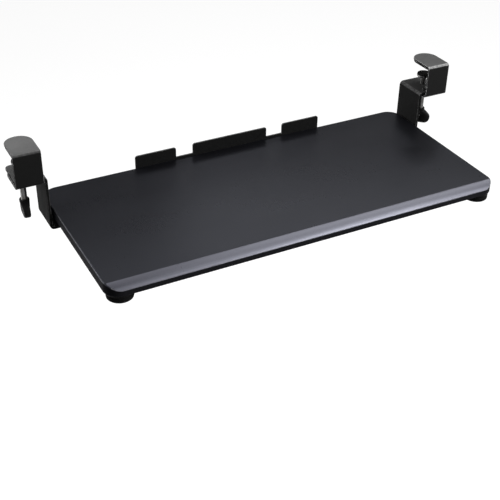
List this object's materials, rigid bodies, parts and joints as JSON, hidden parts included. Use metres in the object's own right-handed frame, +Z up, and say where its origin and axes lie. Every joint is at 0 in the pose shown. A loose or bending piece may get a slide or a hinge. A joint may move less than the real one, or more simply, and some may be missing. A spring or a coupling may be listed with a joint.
{
  "type": "clamp-on keyboard tray",
  "caption": "Pull-out keyboard tray: bevelled board with a rear stop, hung from screw C-clamps on a desk edge and running on roller carriages under its rails.",
  "frame": {"origin": "top front edge of the desk that the clamps grip, midway between the two clamps", "axes": "+X to the sitter's right, +Y away from the sitter and under the desk, +Z up"},
  "size_m": [0.792, 0.3077, 0.1465],
  "materials": {
    "board_laminate": "matt black laminate on fibreboard",
    "black_coat": "satin black powder coat",
    "black_screw": "black oxide",
    "zinc_steel": "bright zinc plate",
    "black_plastic": "fine moulded texture",
    "black_rubber": "matt rubber",
    "white_nylon": "natural nylon"
  },
  "bodies": {
    "clamp_frame": {"left_clamp": "black_coat", "right_clamp": "black_coat", "left_jaw_pad": "black_rubber", "right_jaw_pad": "black_rubber", "left_screw_nut": "zinc_steel", "right_screw_nut": "zinc_steel", "left_hanger": "black_coat", "right_hanger": "black_coat", "hanger_bolts": "black_screw", "hanger_nuts": "zinc_steel", "left_carriage": "white_nylon", "right_carriage": "white_nylon", "carriage_screws": "black_screw", "roller_axles": "zinc_steel"},
    "tray": {"tray_board": "board_laminate", "rear_stop": "black_coat", "stop_screws": "black_screw", "left_rail": "black_coat", "right_rail": "black_coat", "rail_screws": "zinc_steel", "rail_end_stops": "black_plastic", "left_foot_base": "black_plastic", "right_foot_base": "black_plastic", "left_foot_pad": "black_rubber", "right_foot_pad": "black_rubber", "foot_screws": "zinc_steel"},
    "left_front_rollers": {"left_front_inner_roller": "white_nylon", "left_front_outer_roller": "white_nylon"},
    "left_rear_rollers": {"left_rear_inner_roller": "white_nylon", "left_rear_outer_roller": "white_nylon"},
    "right_front_rollers": {"right_front_inner_roller": "white_nylon", "right_front_outer_roller": "white_nylon"},
    "right_rear_rollers": {"right_rear_inner_roller": "white_nylon", "right_rear_outer_roller": "white_nylon"},
    "left_pad": {"left_pressure_disc": "zinc_steel", "left_disc_face": "black_rubber"},
    "right_pad": {"right_pressure_disc": "zinc_steel", "right_disc_face": "black_rubber"},
    "left_screw": {"left_clamp_screw": "zinc_steel", "left_paddle": "black_plastic"},
    "right_screw": {"right_clamp_screw": "zinc_steel", "right_paddle": "black_plastic"}
  },
  "joints": [
    {"name": "tray_slide", "type": "slide", "parent": "clamp_frame", "child": "tray", "axis": [0, 1, 0], "range_m": [0, 0.1845]},
    {"name": "left_front_roll", "type": "hinge", "parent": "clamp_frame", "child": "left_front_rollers", "pos_m": [-0.301, 0.01875, -0.129], "axis": [1, 0, 0], "range_deg": [-2520, 0]},
    {"name": "left_rear_roll", "type": "hinge", "parent": "clamp_frame", "child": "left_rear_rollers", "pos_m": [-0.301, 0.05475, -0.129], "axis": [1, 0, 0], "range_deg": [0, 2520]},
    {"name": "right_front_roll", "type": "hinge", "parent": "clamp_frame", "child": "right_front_rollers", "pos_m": [0.301, 0.01875, -0.129], "axis": [1, 0, 0], "range_deg": [-2520, 0]},
    {"name": "right_rear_roll", "type": "hinge", "parent": "clamp_frame", "child": "right_rear_rollers", "pos_m": [0.301, 0.05475, -0.129], "axis": [1, 0, 0], "range_deg": [0, 2520]},
    {"name": "left_pad_lift", "type": "slide", "parent": "clamp_frame", "child": "left_pad", "axis": [0, 0, 1], "range_m": [-0.0133, 0.0087]},
    {"name": "right_pad_lift", "type": "slide", "parent": "clamp_frame", "child": "right_pad", "axis": [0, 0, 1], "range_m": [-0.0133, 0.0087]},
    {"name": "left_screw_turn", "type": "hinge", "parent": "left_pad", "child": "left_screw", "pos_m": [-0.376, 0.039, -0.0311], "axis": [0, 0, 1], "range_deg": [-3240, 2160]},
    {"name": "right_screw_turn", "type": "hinge", "parent": "right_pad", "child": "right_screw", "pos_m": [0.376, 0.039, -0.0311], "axis": [0, 0, 1], "range_deg": [-3240, 2160]}
  ],
  "couplings": [
    {"joint": "left_front_roll", "follows": "tray_slide", "rad_per_m": -238.1},
    {"joint": "left_rear_roll", "follows": "tray_slide", "rad_per_m": 238.1},
    {"joint": "right_front_roll", "follows": "tray_slide", "rad_per_m": -238.1},
    {"joint": "right_rear_roll", "follows": "tray_slide", "rad_per_m": 238.1},
    {"joint": "left_screw_turn", "follows": "left_pad_lift", "rad_per_m": 4188.8},
    {"joint": "right_screw_turn", "follows": "right_pad_lift", "rad_per_m": 4188.8}
  ]
}
